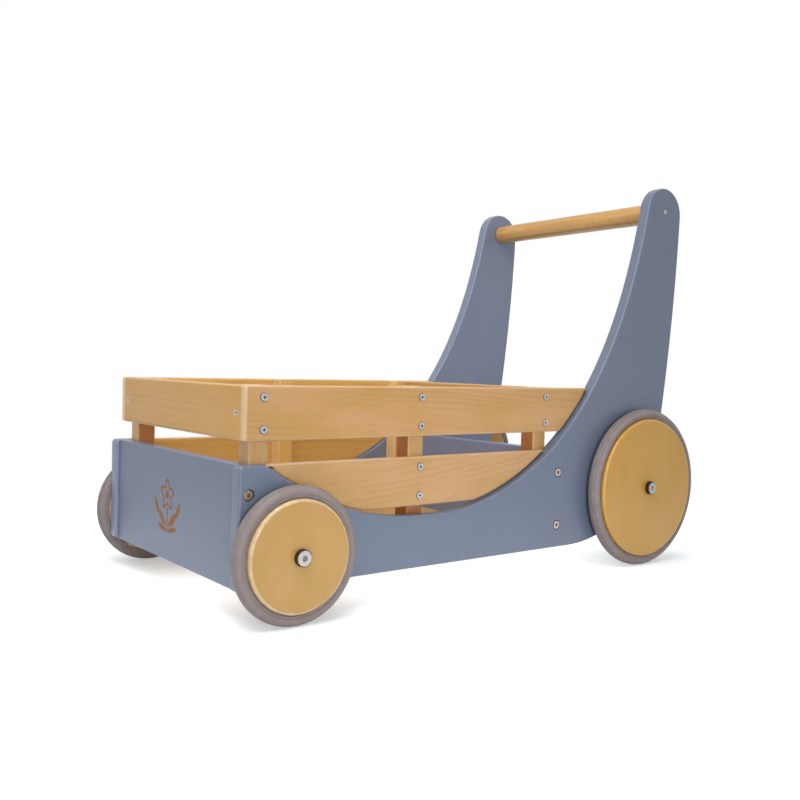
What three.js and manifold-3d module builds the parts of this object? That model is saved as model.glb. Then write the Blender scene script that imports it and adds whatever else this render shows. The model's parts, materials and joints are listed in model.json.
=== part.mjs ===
// A baby push walker: two swept side panels carry a slatted crate and a handle bar on four wheels.
// Millimetres, +Z up, the floor at Z = 0 and the front at -Y. Left and right are as the child who
// pushes the walker sees them, so the left side is at +X.
import * as THREE from 'three';
import { mergeVertices } from 'three/addons/utils/BufferGeometryUtils.js';
import Module from 'manifold-3d';

const wasm = await Module();
wasm.setup();

// Gaps between pieces
const seatGap = 0.3; // between two pieces that rest on each other
const slatEndGap = 2; // between a side slat's end and the swept edge of the panel
const holeClearance = 0.3; // round a screw or a bolt in its hole
const wheelPlay = 0.5; // round a wheel bolt in the wheel's bore
const overrun = 5; // how far a cutting tool runs past a face

// Crate
const crateWidth = 278; // between the inner faces of the side panels
const crateLength = 380.6; // between the inner faces of the front and rear boards
const postSide = 20;
const boardThickness = 13; // front and rear boards
const boardHeight = 111.5;
const floorThickness = 9;
const floorRise = 5.3; // from the panels' lower edge up to the floor board
const slatThickness = 8;
const slatHeight = 50;
const slatSpacing = 20.4; // clear height between the lower and the upper slats

// Side panels
const panelThickness = 15;
const groundClearance = 32.7;
const panelOverhang = 3.7; // how far the panels stand in front of the front board
const panelCornerRadius = 4;
const blockLength = 26.7; // flat top in front of the dip
const shoulderSlope = THREE.MathUtils.degToRad(33.1);
const dipDepth = 59; // from the front block's top down to the lowest point of the dip
const dipOffset = 19; // the dip's lowest point lies this far behind the crate's middle
const neckLean = THREE.MathUtils.degToRad(11.8);
const backLean = THREE.MathUtils.degToRad(2.1);
const heelLean = THREE.MathUtils.degToRad(9.1);
const heelBehindAxle = 47.7;
const heelAboveAxle = 80;
const heelRun = 165; // from the heel forward to where the lower edge runs level
const dipShares = { shoulder: 0.495, bottom: 0.343 }; // of the dip's run, how far each end runs straight on
const sweepShares = { bottom: 0.148, neck: 0.958 }; // of the sweep's run and of its rise
const roundShare = 0.55; // of a round corner's sides, near the share that makes a circle

// Handle
const handleEndBehindPost = 197; // from the rear posts' middle to the middle of the panels' round ends
const handleEndHeight = 432.4; // of the middle of the round ends
const handleEndRadius = 32;
const barRadius = 12.5;
const barRise = 3; // of the bar's axis above the middle of the round ends
const barSetback = 1; // of the bar's axis behind the middle of the round ends

// Wheels
const frontAxleBehindPost = 25; // from the front posts' middle
const rearAxleBehindPost = 156; // from the rear posts' middle
const frontWheelRadius = 63.5;
const rearWheelRadius = 95;
const tyreHeight = 11.5;
const tyreWidth = 15;
const tyreCrown = 6.5;
const discThickness = 18;
const discRound = 3;
const discChamfer = 1;
const washerThickness = 2.7;
const washerRadius = 11;

// Wheel bolts
const wheelBolt = {
  headRadius: 7.9,
  headHeight: 5,
  headRound: 1.2,
  shankRadius: 4.5,
  socketRadius: 3,
  socketDepth: 3,
};
const wheelBoltWall = 2.7; // wood left in the panel behind a wheel bolt

// Bolts through the panels into the front and rear boards
const boardBolt = {
  headRadius: 5,
  headHeight: 3,
  headRound: 0.5,
  shankRadius: 3,
  socketRadius: 2.2,
  socketDepth: 1.8,
};
const boardBoltGrip = 30; // how deep a bolt goes into the board
const boardBoltSpread = 30; // above and below the middle of the board
const frontBoltRecess = 1.5;
const rearBoltRecess = 0.2;

// Screws through the panels into the handle bar
const handleScrew = {
  headRadius: 3.4,
  headHeight: 2.4,
  headRound: 0.5,
  shankRadius: 2.2,
  socketRadius: 1.5,
  socketDepth: 1.2,
};
const handleScrewGrip = 25;
const handleScrewRecess = 0.4;

// Screws through the side slats into the posts
const slatScrew = {
  headRadius: 3.8,
  headHeight: 2.2,
  headRound: 1.5,
  shankRadius: 1.9,
};
const slatScrewGrip = 13;
const slatScrewSpread = 14.5; // above and below the middle of the slat

// How finely round things are cut
const dipSteps = 16;
const sweepSteps = 20;
const handleEndSteps = 20;
const cornerSteps = 3;
const backSteps = 6;
const heelSteps = 12;
const frontWheelSides = 40;
const rearWheelSides = 48;
const crownSteps = 4;
const roundingSteps = 2;
const barSides = 24;
const boltSides = 16;
const screwSides = 12;
const socketSides = 6;

// Levels above the floor
const boardTop = groundClearance + boardHeight;
const floorTop = groundClearance + floorRise + floorThickness;
const lowerSlatBottom = boardTop - slatHeight;
const upperSlatBottom = boardTop + slatSpacing;
const upperSlatTop = upperSlatBottom + slatHeight;
const postBottom = floorTop + seatGap;
const barHeight = handleEndHeight + barRise;

// Distances across the walker, from its middle
const panelInner = crateWidth / 2;
const panelOuter = panelInner + panelThickness;
const postOuter = panelInner - seatGap;
const slatOuter = panelInner + slatThickness;
const wheelInner = panelOuter + washerThickness + 2 * seatGap;
const wheelOuter = wheelInner + discThickness;

// Distances along the walker, from the crate's middle
const boardInner = crateLength / 2;
const postSpacing = boardInner - seatGap - postSide / 2;
const boardOuter = boardInner + boardThickness;
const endSlatOuter = boardInner + slatThickness;
const panelFront = -(boardOuter + panelOverhang);
const frontAxle = frontAxleBehindPost - postSpacing;
const rearAxle = postSpacing + rearAxleBehindPost;
const handleEnd = postSpacing + handleEndBehindPost;
const barAxis = handleEnd + barSetback;
const walkerFront = frontAxle - frontWheelRadius;
const walkerRear = rearAxle + rearWheelRadius;

const left = 1;
const right = -1;
const sides = [['left', left], ['right', right]];
const wheelPlaces = [
  ['front', frontAxle, frontWheelRadius, frontWheelSides],
  ['rear', rearAxle, rearWheelRadius, rearWheelSides],
];
const postPlaces = [['front', -postSpacing], ['middle', 0], ['rear', postSpacing]];

const paint = new THREE.MeshStandardMaterial({ color: 0x7f8a9b, roughness: 0.55, metalness: 0 });
const pine = new THREE.MeshStandardMaterial({ color: 0xc9a370, roughness: 0.5, metalness: 0 });
const plywood = new THREE.MeshStandardMaterial({ color: 0xd0a65c, roughness: 0.4, metalness: 0 });
const dowel = new THREE.MeshStandardMaterial({ color: 0xc9954f, roughness: 0.4, metalness: 0 });
const disc = new THREE.MeshStandardMaterial({ color: 0xc8a569, roughness: 0.4, metalness: 0 });
const tyre = new THREE.MeshStandardMaterial({ color: 0x948784, roughness: 0.8, metalness: 0 });
const steel = new THREE.MeshStandardMaterial({ color: 0xc4c4c8, roughness: 0.3, metalness: 0.9 });
const dullSteel = new THREE.MeshStandardMaterial({ color: 0x9a8f80, roughness: 0.5, metalness: 0.8 });

const walker = new THREE.Group();
walker.position.y = -(walkerFront + walkerRear) / 2;

function add(name, geometry, material, x, y, z) {
  const mesh = new THREE.Mesh(geometry, material);
  mesh.name = name;
  mesh.position.set(x, y, z);
  walker.add(mesh);
  return mesh;
}

// A piece that was made for the left side, reaching outward along +X, is turned to face its side.
function addOutward(name, geometry, material, side, x, y, z) {
  const mesh = add(name, geometry, material, side * x, y, z);
  mesh.rotation.z = side === left ? 0 : Math.PI;
}

function solidOf(geometry) {
  const bare = geometry.clone();
  bare.deleteAttribute('normal');
  bare.deleteAttribute('uv');
  const merged = mergeVertices(bare);
  const corners = merged.index.array;
  const kept = [];
  for (let i = 0; i < corners.length; i += 3) {
    const [a, b, c] = corners.slice(i, i + 3);
    if (a !== b && b !== c && c !== a) kept.push(a, b, c);
  }
  const vertProperties = merged.attributes.position.array;
  return new wasm.Manifold(new wasm.Mesh({ numProp: 3, vertProperties, triVerts: new Uint32Array(kept) }));
}

function geometryOf(solid) {
  const mesh = solid.getMesh();
  const geometry = new THREE.BufferGeometry();
  geometry.setAttribute('position', new THREE.BufferAttribute(mesh.vertProperties, 3));
  geometry.setIndex(new THREE.BufferAttribute(mesh.triVerts, 1));
  geometry.computeVertexNormals();
  return geometry;
}

function cut(solid, tools) {
  return geometryOf(tools.reduce((rest, tool) => rest.subtract(solidOf(tool)), solid));
}

// An outline in Y and Z becomes a plate along X, from the panel's inner face outward.
function plate(outline, thickness, side) {
  const shape = new THREE.Shape(outline);
  const geometry = new THREE.ExtrudeGeometry(shape, { depth: thickness, bevelEnabled: false });
  const alongX = new THREE.Matrix4().makeBasis(
    new THREE.Vector3(0, 1, 0),
    new THREE.Vector3(0, 0, 1),
    new THREE.Vector3(1, 0, 0),
  );
  geometry.applyMatrix4(alongX);
  if (side === right) geometry.translate(-thickness, 0, 0);
  return geometry;
}

// A round tool along X, between two distances outward on its side.
function rod(radius, from, to, side, y, z, facets) {
  const geometry = new THREE.CylinderGeometry(radius, radius, to - from, facets);
  geometry.rotateZ(Math.PI / 2);
  geometry.translate(side * (from + to) / 2, y, z);
  return geometry;
}

// A profile of [radius, distance along +X] pairs, turned round the X axis.
function turned(profile, facets) {
  const points = profile.map(([radius, along]) => new THREE.Vector2(radius, along));
  const geometry = new THREE.LatheGeometry(points, facets);
  geometry.rotateZ(-Math.PI / 2);
  return geometry;
}

function arc(y, z, radius, from, to, steps) {
  return new THREE.EllipseCurve(y, z, radius, radius, from, to, true).getPoints(steps);
}

// The side panel's swept upper edge: the dip behind the front block, then the sweep to the handle.
function sweptEdge() {
  const shoulder = new THREE.Vector2(panelFront + blockLength, boardTop);
  const bottom = new THREE.Vector2(dipOffset, boardTop - dipDepth);
  const neck = new THREE.Vector2(
    handleEnd - handleEndRadius * Math.cos(neckLean),
    handleEndHeight + handleEndRadius * Math.sin(neckLean),
  );
  const dipRun = bottom.x - shoulder.x;
  const slope = new THREE.Vector2(Math.cos(shoulderSlope), -Math.sin(shoulderSlope));
  const neckDirection = new THREE.Vector2(Math.sin(neckLean), Math.cos(neckLean));
  const dip = new THREE.CubicBezierCurve(
    shoulder,
    shoulder.clone().addScaledVector(slope, dipShares.shoulder * dipRun),
    new THREE.Vector2(bottom.x - dipShares.bottom * dipRun, bottom.y),
    bottom,
  );
  const sweep = new THREE.CubicBezierCurve(
    bottom,
    new THREE.Vector2(bottom.x + sweepShares.bottom * (neck.x - bottom.x), bottom.y),
    neck.clone().addScaledVector(neckDirection, -sweepShares.neck * (neck.y - bottom.y)),
    neck,
  );
  return { dip, sweep };
}

// The rear edge and the round heel behind the rear wheel, from the handle end down to the lower edge.
function backEdge() {
  const top = new THREE.Vector2(
    handleEnd + handleEndRadius * Math.cos(backLean),
    handleEndHeight - handleEndRadius * Math.sin(backLean),
  );
  const heel = new THREE.Vector2(rearAxle + heelBehindAxle, rearWheelRadius + heelAboveAxle);
  const level = new THREE.Vector2(heel.x - heelRun, groundClearance);
  const backDirection = new THREE.Vector2(-Math.sin(backLean), -Math.cos(backLean));
  const heelDirection = new THREE.Vector2(-Math.sin(heelLean), -Math.cos(heelLean));
  const back = new THREE.QuadraticBezierCurve(
    top,
    top.clone().addScaledVector(backDirection, (top.y - heel.y) / 2),
    heel,
  );
  const round = new THREE.CubicBezierCurve(
    heel,
    heel.clone().addScaledVector(heelDirection, roundShare * (heel.y - level.y)),
    new THREE.Vector2(level.x + roundShare * heelRun, level.y),
    level,
  );
  return { back, round };
}

function panelOutline() {
  const { dip, sweep } = sweptEdge();
  const { back, round } = backEdge();
  const cornerY = panelFront + panelCornerRadius;
  const lowCornerZ = groundClearance + panelCornerRadius;
  const highCornerZ = boardTop - panelCornerRadius;
  return [
    ...arc(cornerY, lowCornerZ, panelCornerRadius, -Math.PI / 2, -Math.PI, cornerSteps),
    ...arc(cornerY, highCornerZ, panelCornerRadius, Math.PI, Math.PI / 2, cornerSteps),
    ...dip.getPoints(dipSteps),
    ...sweep.getPoints(sweepSteps).slice(1, -1),
    ...arc(handleEnd, handleEndHeight, handleEndRadius, Math.PI - neckLean, -backLean, handleEndSteps),
    ...back.getPoints(backSteps).slice(1),
    ...round.getPoints(heelSteps).slice(1),
  ];
}

function offsetPoints(curve, steps, gap) {
  return Array.from({ length: steps + 1 }, (_, step) => {
    const point = curve.getPoint(step / steps);
    const direction = curve.getTangent(step / steps);
    return new THREE.Vector2(point.x - direction.y * gap, point.y + direction.x * gap);
  });
}

// The room that the panel's swept edge leaves for the side slats.
function sweptRoom() {
  const { dip, sweep } = sweptEdge();
  const edge = [
    ...offsetPoints(dip, dipSteps, slatEndGap),
    ...offsetPoints(sweep, sweepSteps, slatEndGap).slice(1),
  ];
  const front = -endSlatOuter - overrun;
  const top = edge[edge.length - 1].y;
  return [...edge, new THREE.Vector2(front, top), new THREE.Vector2(front, boardTop)];
}

function boardBoltPlaces() {
  const places = [];
  for (const [end, direction, recess] of [['front', -1, frontBoltRecess], ['rear', 1, rearBoltRecess]]) {
    for (const [level, up] of [['lower', -1], ['upper', 1]]) {
      const y = direction * (boardInner + boardThickness / 2);
      const z = groundClearance + boardHeight / 2 + up * boardBoltSpread;
      places.push([`${end}_${level}`, y, z, recess]);
    }
  }
  return places;
}

// A counterbore for a sunk head with the hole for its shank.
function sunkHole(fastener, recess, side, y, z) {
  const floor = panelThickness - recess - fastener.headHeight - seatGap;
  return [
    rod(fastener.headRadius + holeClearance, floor, panelThickness + overrun, side, y, z, boltSides),
    rod(fastener.shankRadius + holeClearance, -overrun, floor + overrun, side, y, z, boltSides),
  ];
}

function sidePanel(side) {
  const holes = boardBoltPlaces().flatMap(([, y, z, recess]) => sunkHole(boardBolt, recess, side, y, z));
  const boltHole = wheelBolt.shankRadius + holeClearance;
  for (const [, axle, radius] of wheelPlaces) {
    holes.push(rod(boltHole, wheelBoltWall, panelThickness + overrun, side, axle, radius, boltSides));
  }
  holes.push(...sunkHole(handleScrew, handleScrewRecess, side, barAxis, barHeight));
  return cut(solidOf(plate(panelOutline(), panelThickness, side)), holes);
}

function endBoard() {
  const length = 2 * postOuter;
  const geometry = new THREE.BoxGeometry(length, boardThickness, boardHeight);
  const holeStart = postOuter - boardBoltGrip - seatGap;
  const holes = sides.flatMap(([, side]) => [-boardBoltSpread, boardBoltSpread].map((z) => (
    rod(boardBolt.shankRadius + holeClearance, holeStart, postOuter + overrun, side, 0, z, boltSides)
  )));
  return cut(solidOf(geometry), holes);
}

// The screws of one side: [name, along the walker, level].
function slatScrewPlaces() {
  const upperMiddle = upperSlatBottom + slatHeight / 2;
  const lowerMiddle = lowerSlatBottom + slatHeight / 2;
  const places = [];
  for (const [end, y] of postPlaces) {
    places.push([`upper_slat_${end}_low`, y, upperMiddle - slatScrewSpread]);
    places.push([`upper_slat_${end}_high`, y, upperMiddle + slatScrewSpread]);
  }
  places.push(['lower_slat_middle_low', 0, lowerMiddle - slatScrewSpread]);
  places.push(['lower_slat_middle_high', 0, lowerMiddle + slatScrewSpread]);
  return places;
}

function sideSlat(side, bottom) {
  const slat = [
    new THREE.Vector2(-endSlatOuter, bottom),
    new THREE.Vector2(handleEnd, bottom),
    new THREE.Vector2(handleEnd, bottom + slatHeight),
    new THREE.Vector2(-endSlatOuter, bottom + slatHeight),
  ];
  const room = plate(sweptRoom(), slatThickness + 2 * overrun, side);
  room.translate(-side * overrun, 0, 0);
  const solid = solidOf(plate(slat, slatThickness, side)).intersect(solidOf(room));
  const holeRadius = slatScrew.shankRadius + holeClearance;
  const holes = slatScrewPlaces()
    .filter(([, , z]) => z > bottom && z < bottom + slatHeight)
    .map(([, y, z]) => rod(holeRadius, -overrun, slatThickness + overrun, side, y, z, screwSides));
  return cut(solid, holes);
}

// A post stands with its outer face on the slats, and its origin is in the middle of that face.
function post(side, y) {
  const height = upperSlatTop - postBottom;
  const geometry = new THREE.BoxGeometry(postSide, postSide, height);
  geometry.translate(-side * postSide / 2, 0, postBottom + height / 2);
  const holeRadius = slatScrew.shankRadius + holeClearance;
  const holes = slatScrewPlaces()
    .filter(([, screwY]) => screwY === y)
    .map(([, , z]) => rod(holeRadius, -slatScrewGrip - seatGap, overrun, side, 0, z, screwSides));
  return cut(solidOf(geometry), holes);
}

function handleBar() {
  const geometry = new THREE.CylinderGeometry(barRadius, barRadius, 2 * postOuter, barSides);
  geometry.rotateZ(Math.PI / 2);
  const holeRadius = handleScrew.shankRadius + holeClearance;
  const holes = sides.map(([, side]) => (
    rod(holeRadius, postOuter - handleScrewGrip - seatGap, postOuter + overrun, side, 0, 0, screwSides)
  ));
  return cut(solidOf(geometry), holes);
}

// The part of a turned profile that rounds over an outer edge.
function roundedEdge(radius, along, round) {
  return Array.from({ length: roundingSteps + 1 }, (_, step) => {
    const turn = step / roundingSteps * Math.PI / 2;
    return [radius - round * (1 - Math.cos(turn)), along - round * (1 - Math.sin(turn))];
  });
}

// The origin is in the middle of the head's underside, and the shank runs inward along -X.
function fastener(size, shankLength, facets) {
  const body = turned([
    [0, -shankLength],
    [size.shankRadius, -shankLength],
    [size.shankRadius, 0],
    [size.headRadius, 0],
    ...roundedEdge(size.headRadius, size.headHeight, size.headRound),
    [0, size.headHeight],
  ], facets);
  if (!size.socketRadius) return body;
  const socketFloor = size.headHeight - size.socketDepth;
  return cut(solidOf(body), [
    rod(size.socketRadius, socketFloor, size.headHeight + overrun, left, 0, 0, socketSides),
  ]);
}

// The origin is in the middle of the disc's inner face.
function wheelDisc(radius, facets) {
  const bore = wheelBolt.shankRadius + wheelPlay;
  const rim = radius - tyreHeight;
  return turned([
    [bore, 0],
    [rim - discChamfer, 0],
    [rim, discChamfer],
    ...roundedEdge(rim, discThickness, discRound),
    [bore, discThickness],
    [bore, 0],
  ], facets);
}

function wheelTyre(radius, facets) {
  const seat = radius - tyreHeight + seatGap;
  const crown = Array.from({ length: crownSteps + 1 }, (_, step) => {
    const turn = step / crownSteps * Math.PI;
    const along = tyreWidth / 2 * (1 - Math.cos(turn));
    return [radius - tyreCrown * (1 - Math.sin(turn)), along];
  });
  return turned([[seat, 0], ...crown, [seat, tyreWidth], [seat, 0]], facets);
}

function washer() {
  const bore = wheelBolt.shankRadius + holeClearance;
  return turned([
    [bore, 0],
    [washerRadius, 0],
    [washerRadius, washerThickness],
    [bore, washerThickness],
    [bore, 0],
  ], boltSides);
}

// Body
for (const [name, side] of sides) {
  add(`side_panel_${name}`, sidePanel(side), paint, side * panelInner, 0, 0);
}
const boardMiddle = boardInner + boardThickness / 2;
const boardLevel = groundClearance + boardHeight / 2;
add('front_board', endBoard(), paint, 0, -boardMiddle, boardLevel);
add('rear_board', endBoard(), paint, 0, boardMiddle, boardLevel);
const floorBoard = new THREE.BoxGeometry(2 * postOuter, 2 * (boardInner - seatGap), floorThickness);
add('floor_board', floorBoard, plywood, 0, 0, floorTop - floorThickness / 2);

// Crate
for (const [name, side] of sides) {
  add(`upper_slat_${name}`, sideSlat(side, upperSlatBottom), pine, side * panelInner, 0, 0);
  add(`lower_slat_${name}`, sideSlat(side, lowerSlatBottom), pine, side * panelInner, 0, 0);
  for (const [end, y] of postPlaces) {
    add(`post_${end}_${name}`, post(side, y), pine, side * postOuter, y, 0);
  }
}
const endSlat = new THREE.BoxGeometry(2 * postOuter, slatThickness, slatHeight);
const endSlatMiddle = boardInner + slatThickness / 2;
add('upper_slat_front', endSlat, pine, 0, -endSlatMiddle, upperSlatBottom + slatHeight / 2);
add('upper_slat_rear', endSlat, pine, 0, endSlatMiddle, upperSlatBottom + slatHeight / 2);
add('handle_bar', handleBar(), dowel, 0, barAxis, barHeight);

// Wheels
const boltLength = wheelOuter - panelInner - wheelBoltWall;
for (const [end, axle, radius, facets] of wheelPlaces) {
  for (const [name, side] of sides) {
    const place = `${end}_${name}`;
    addOutward(`wheel_disc_${place}`, wheelDisc(radius, facets), disc, side, wheelInner, axle, radius);
    addOutward(`tyre_${place}`, wheelTyre(radius, facets), tyre, side, wheelInner, axle, radius);
    addOutward(`wheel_washer_${place}`, washer(), dullSteel, side, panelOuter + seatGap, axle, radius);
    const bolt = fastener(wheelBolt, boltLength, boltSides);
    addOutward(`wheel_bolt_${place}`, bolt, steel, side, wheelOuter + seatGap, axle, radius);
  }
}

// Bolts and screws
for (const [name, side] of sides) {
  for (const [place, y, z, recess] of boardBoltPlaces()) {
    const seat = panelOuter - recess - boardBolt.headHeight;
    const bolt = fastener(boardBolt, seat - postOuter + boardBoltGrip, boltSides);
    addOutward(`board_bolt_${place}_${name}`, bolt, dullSteel, side, seat, y, z);
  }
  const barSeat = panelOuter - handleScrewRecess - handleScrew.headHeight;
  const barScrew = fastener(handleScrew, barSeat - postOuter + handleScrewGrip, screwSides);
  addOutward(`handle_screw_${name}`, barScrew, steel, side, barSeat, barAxis, barHeight);
  for (const [place, y, z] of slatScrewPlaces()) {
    const seat = slatOuter + seatGap;
    const screw = fastener(slatScrew, seat - postOuter + slatScrewGrip, screwSides);
    addOutward(`screw_${place}_${name}`, screw, steel, side, seat, y, z);
  }
}

export default walker;
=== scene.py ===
# %% [markdown]
# # A wooden push walker
# Two painted plywood panels hold a slatted pine crate between them and sweep up to a round handle
# bar. Four wooden wheels with soft tyres turn on steel bolts. The solid model gives every piece its
# place and size. This script gives each one its rounded edges, its small details and its finish,
# and lets it ride on the same body, so that the wheels still turn.

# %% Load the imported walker
import json
from math import cos, pi, radians, sin

import bmesh
import bpy
from mathutils import Matrix, Vector
from mathutils.geometry import tessellate_polygon

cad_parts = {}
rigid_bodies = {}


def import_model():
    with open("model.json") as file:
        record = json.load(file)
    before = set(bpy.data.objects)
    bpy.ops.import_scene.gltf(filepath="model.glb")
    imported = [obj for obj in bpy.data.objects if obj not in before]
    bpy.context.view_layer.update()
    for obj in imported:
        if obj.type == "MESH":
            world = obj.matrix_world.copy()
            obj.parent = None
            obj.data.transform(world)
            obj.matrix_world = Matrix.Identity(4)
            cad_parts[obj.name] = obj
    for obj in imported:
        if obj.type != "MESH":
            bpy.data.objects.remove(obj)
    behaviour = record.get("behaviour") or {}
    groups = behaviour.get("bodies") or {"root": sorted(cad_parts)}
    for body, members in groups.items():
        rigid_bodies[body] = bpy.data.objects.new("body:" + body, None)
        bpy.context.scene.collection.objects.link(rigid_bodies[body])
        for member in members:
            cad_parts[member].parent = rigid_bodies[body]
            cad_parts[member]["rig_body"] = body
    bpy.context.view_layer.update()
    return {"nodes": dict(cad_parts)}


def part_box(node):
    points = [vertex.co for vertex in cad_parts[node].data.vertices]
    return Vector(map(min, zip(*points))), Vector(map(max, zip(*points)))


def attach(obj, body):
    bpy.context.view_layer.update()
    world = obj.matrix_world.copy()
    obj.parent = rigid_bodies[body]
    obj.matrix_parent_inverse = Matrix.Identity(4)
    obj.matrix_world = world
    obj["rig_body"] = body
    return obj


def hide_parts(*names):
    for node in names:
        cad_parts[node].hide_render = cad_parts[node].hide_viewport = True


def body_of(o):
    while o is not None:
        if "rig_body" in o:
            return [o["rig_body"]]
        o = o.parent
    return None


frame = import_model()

MM = 0.001

# %% [markdown]
# Blender counts in metres and a workshop in millimetres. Each node of the solid model fills a box,
# and the box's two far corners say where the node is and how large. The child who pushes the walker
# has x to the left, y to the rear, where the handle is, and z up.

# %% Measure a piece
X, Y, Z = range(3)
TO_REAR, UP = Vector((0, 1, 0)), Vector((0, 0, 1))


def corners_mm(node):
    """The lowest and the highest corner of a node's box, in millimetres."""
    return [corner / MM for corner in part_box(node)]


def round_size(node):
    """The radius of a turned node and its length along its axis, in millimetres."""
    low, high = corners_mm(node)
    return (high.z - low.z) / 2, high.x - low.x


post_low, post_high = corners_mm("post_middle_left")
crate_middle = (post_low.y + post_high.y) / 2
print("the crate's middle lies", round(-crate_middle, 2), "mm before the walker's middle")

# %% [markdown]
# ## The camera
# The walker is seen from its front and its left side, at about the height of the crate's rim. The
# numbers come from laying corners of the solid model over the same corners in the picture.

# %% Place the camera
IMAGE_PIXELS = 800
FOCAL_PIXELS = 901.62
SENSOR_WIDTH = 36
azimuth, elevation, roll = radians(52.27), radians(2.17), radians(1.50)
camera_place = Vector((851.32, -679.38, 235.01)) * MM

backward = Vector((sin(azimuth) * cos(elevation), -cos(azimuth) * cos(elevation), sin(elevation)))
level_right = UP.cross(backward).normalized()
level_up = backward.cross(level_right)
rightward = cos(roll) * level_right + sin(roll) * level_up
upward = cos(roll) * level_up - sin(roll) * level_right

camera_data = bpy.data.cameras.new("camera")
camera_data.sensor_width = SENSOR_WIDTH
camera_data.lens = FOCAL_PIXELS * SENSOR_WIDTH / IMAGE_PIXELS
camera_data.clip_start = 0.01
camera = bpy.data.objects.new("camera", camera_data)
camera.matrix_world = Matrix((rightward, upward, backward)).transposed().to_4x4()
camera.matrix_world.translation = camera_place
bpy.context.scene.collection.objects.link(camera)
bpy.context.scene.camera = camera
print("lens in mm:", round(camera_data.lens, 2))

# %% [markdown]
# ## A shorthand for finishes
# A finish is a small program made of nodes: numbers flow from one node's output socket into the
# next one's input. Placing hundreds of nodes by hand hides what the program says. Here a socket is
# wrapped so that Python's own signs build the Math nodes: `1 - mask` adds a Subtract node.

# %% Wrap a socket
def sign(operation):
    """What one of Python's signs does with a wire: it adds a Math node."""
    return lambda wire, *others: wire.math(operation, *others)


class Wire:
    """An output socket in a finish. Adding, multiplying and the like make Math nodes."""

    def __init__(self, finish, socket):
        self.finish = finish
        self.socket = socket

    def math(self, operation, *others, clamp=False):
        """Any Math node whose first input is this socket."""
        settings = {"operation": operation, "use_clamp": clamp}
        return self.finish.node("ShaderNodeMath", settings, dict(enumerate((self, *others))))

    __add__ = __radd__ = sign("ADD")
    __sub__ = sign("SUBTRACT")
    __mul__ = __rmul__ = sign("MULTIPLY")
    __truediv__ = sign("DIVIDE")
    __pow__ = sign("POWER")
    __abs__ = sign("ABSOLUTE")

    def __rsub__(self, other):
        return self.finish.node("ShaderNodeMath", {"operation": "SUBTRACT"}, {0: other, 1: self})

    def clamp(self):
        return self.math("ADD", 0, clamp=True)


# %% Start a finish
class Finish:
    """A material or a world in the making, with one method that adds a node of any type."""

    def __init__(self, owner):
        owner.use_nodes = True
        self.owner = owner
        self.tree = owner.node_tree
        self.tree.nodes.clear()

    def node(self, kind, settings=None, inputs=None, output=0):
        """Settings come first, because some of them decide which sockets the node has."""
        made = self.tree.nodes.new(kind)
        for key, value in (settings or {}).items():
            setattr(made, key, value)
        for key, value in (inputs or {}).items():
            if isinstance(value, Wire):
                self.tree.links.new(value.socket, made.inputs[key])
            else:
                made.inputs[key].default_value = value
        return Wire(self, made.outputs[output]) if made.outputs else None


# %% [markdown]
# Colours are written as they look on a screen, two hexadecimal digits for each of red, green and
# blue. Light adds up on another scale, so each is turned to that scale once, here.

# %% Read a colour as the screen shows it
def tint(code):
    """A screen colour such as "cda570" on the scale that light adds up on."""
    parts = [int(code[i:i + 2], 16) / 255 for i in (0, 2, 4)]
    return (*[p / 12.92 if p <= 0.04045 else ((p + 0.055) / 1.055) ** 2.4 for p in parts], 1)


print("middle grey sends out", round(tint("808080")[0], 3), "of the light of white")

# %% [markdown]
# A few things come back in every finish: where the point lies on the piece, an uneven speckle of a
# given size, and a mix of two colours. Places are in millimetres and belong to the piece itself, so
# the grain of a wheel turns with the wheel. A speckle that is long in one direction makes fibres.

# %% Places and speckles
def thirds(finish, output):
    """The x, y and z of one of the piece's own coordinates."""
    where = finish.node("ShaderNodeTexCoord", output=output)
    return [finish.node("ShaderNodeSeparateXYZ", {}, {0: where}, axis) for axis in "XYZ"]


def started(name):
    """A new material's finish, and the point's x, y and z on the piece in millimetres."""
    finish = Finish(bpy.data.materials.new(name))
    return finish, [part * (1 / MM) for part in thirds(finish, "Object")]


def slant(a, b):
    """The long side of a right-angled triangle."""
    return (a * a + b * b) ** 0.5


def speckle(place, size, detail=2):
    """Noise from 0 to 1 with patches of about this size, or of these sizes along x, y and z."""
    finish = place[X].finish
    sizes = size if isinstance(size, list) else [size] * 3
    scaled = {axis: part / length for axis, (part, length) in enumerate(zip(place, sizes))}
    where = finish.node("ShaderNodeCombineXYZ", {}, scaled)
    return finish.node("ShaderNodeTexNoise", {}, {"Vector": where, "Scale": 1, "Detail": detail})


def fibrous(place, grain, size, detail=2):
    """A speckle drawn out along the grain. Its size is a pair: across the grain and along it."""
    across, along = size
    return speckle(place, [along if axis == grain else across for axis in range(3)], detail)


# %% Mixtures and ramps
def mixed(amount, first, second):
    """The first colour where the amount is 0, the second where it is 1."""
    settings = {"data_type": "RGBA"}
    return amount.finish.node("ShaderNodeMix", settings, {0: amount, 6: first, 7: second}, 2)


def ramp(value, stops, smooth=False):
    """Turns a value into a grey level along the stops."""
    made = value.finish.node("ShaderNodeValToRGB", {}, {0: value})
    scale = made.socket.node.color_ramp
    scale.interpolation = "EASE" if smooth else "LINEAR"
    while len(scale.elements) < len(stops):
        scale.elements.new(1)
    for element, (position, level) in zip(scale.elements, stops):
        element.position = position
        element.color = (level, level, level, 1)
    return made


def rise(value, low, high):
    """0 up to the low value, 1 from the high one and a straight line between them."""
    return ramp(value, [(low, 0), (high, 1)])


# %% [markdown]
# Every finish ends the same way: one surface shader, a little unevenness that only bends the light,
# and the output. What changes over the surface goes in as a wire, and what is the same everywhere
# is set on the shader itself. Most finishes are equally uneven in how rough they are.

# %% Close a finish
UNEVEN = 0.12


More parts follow.
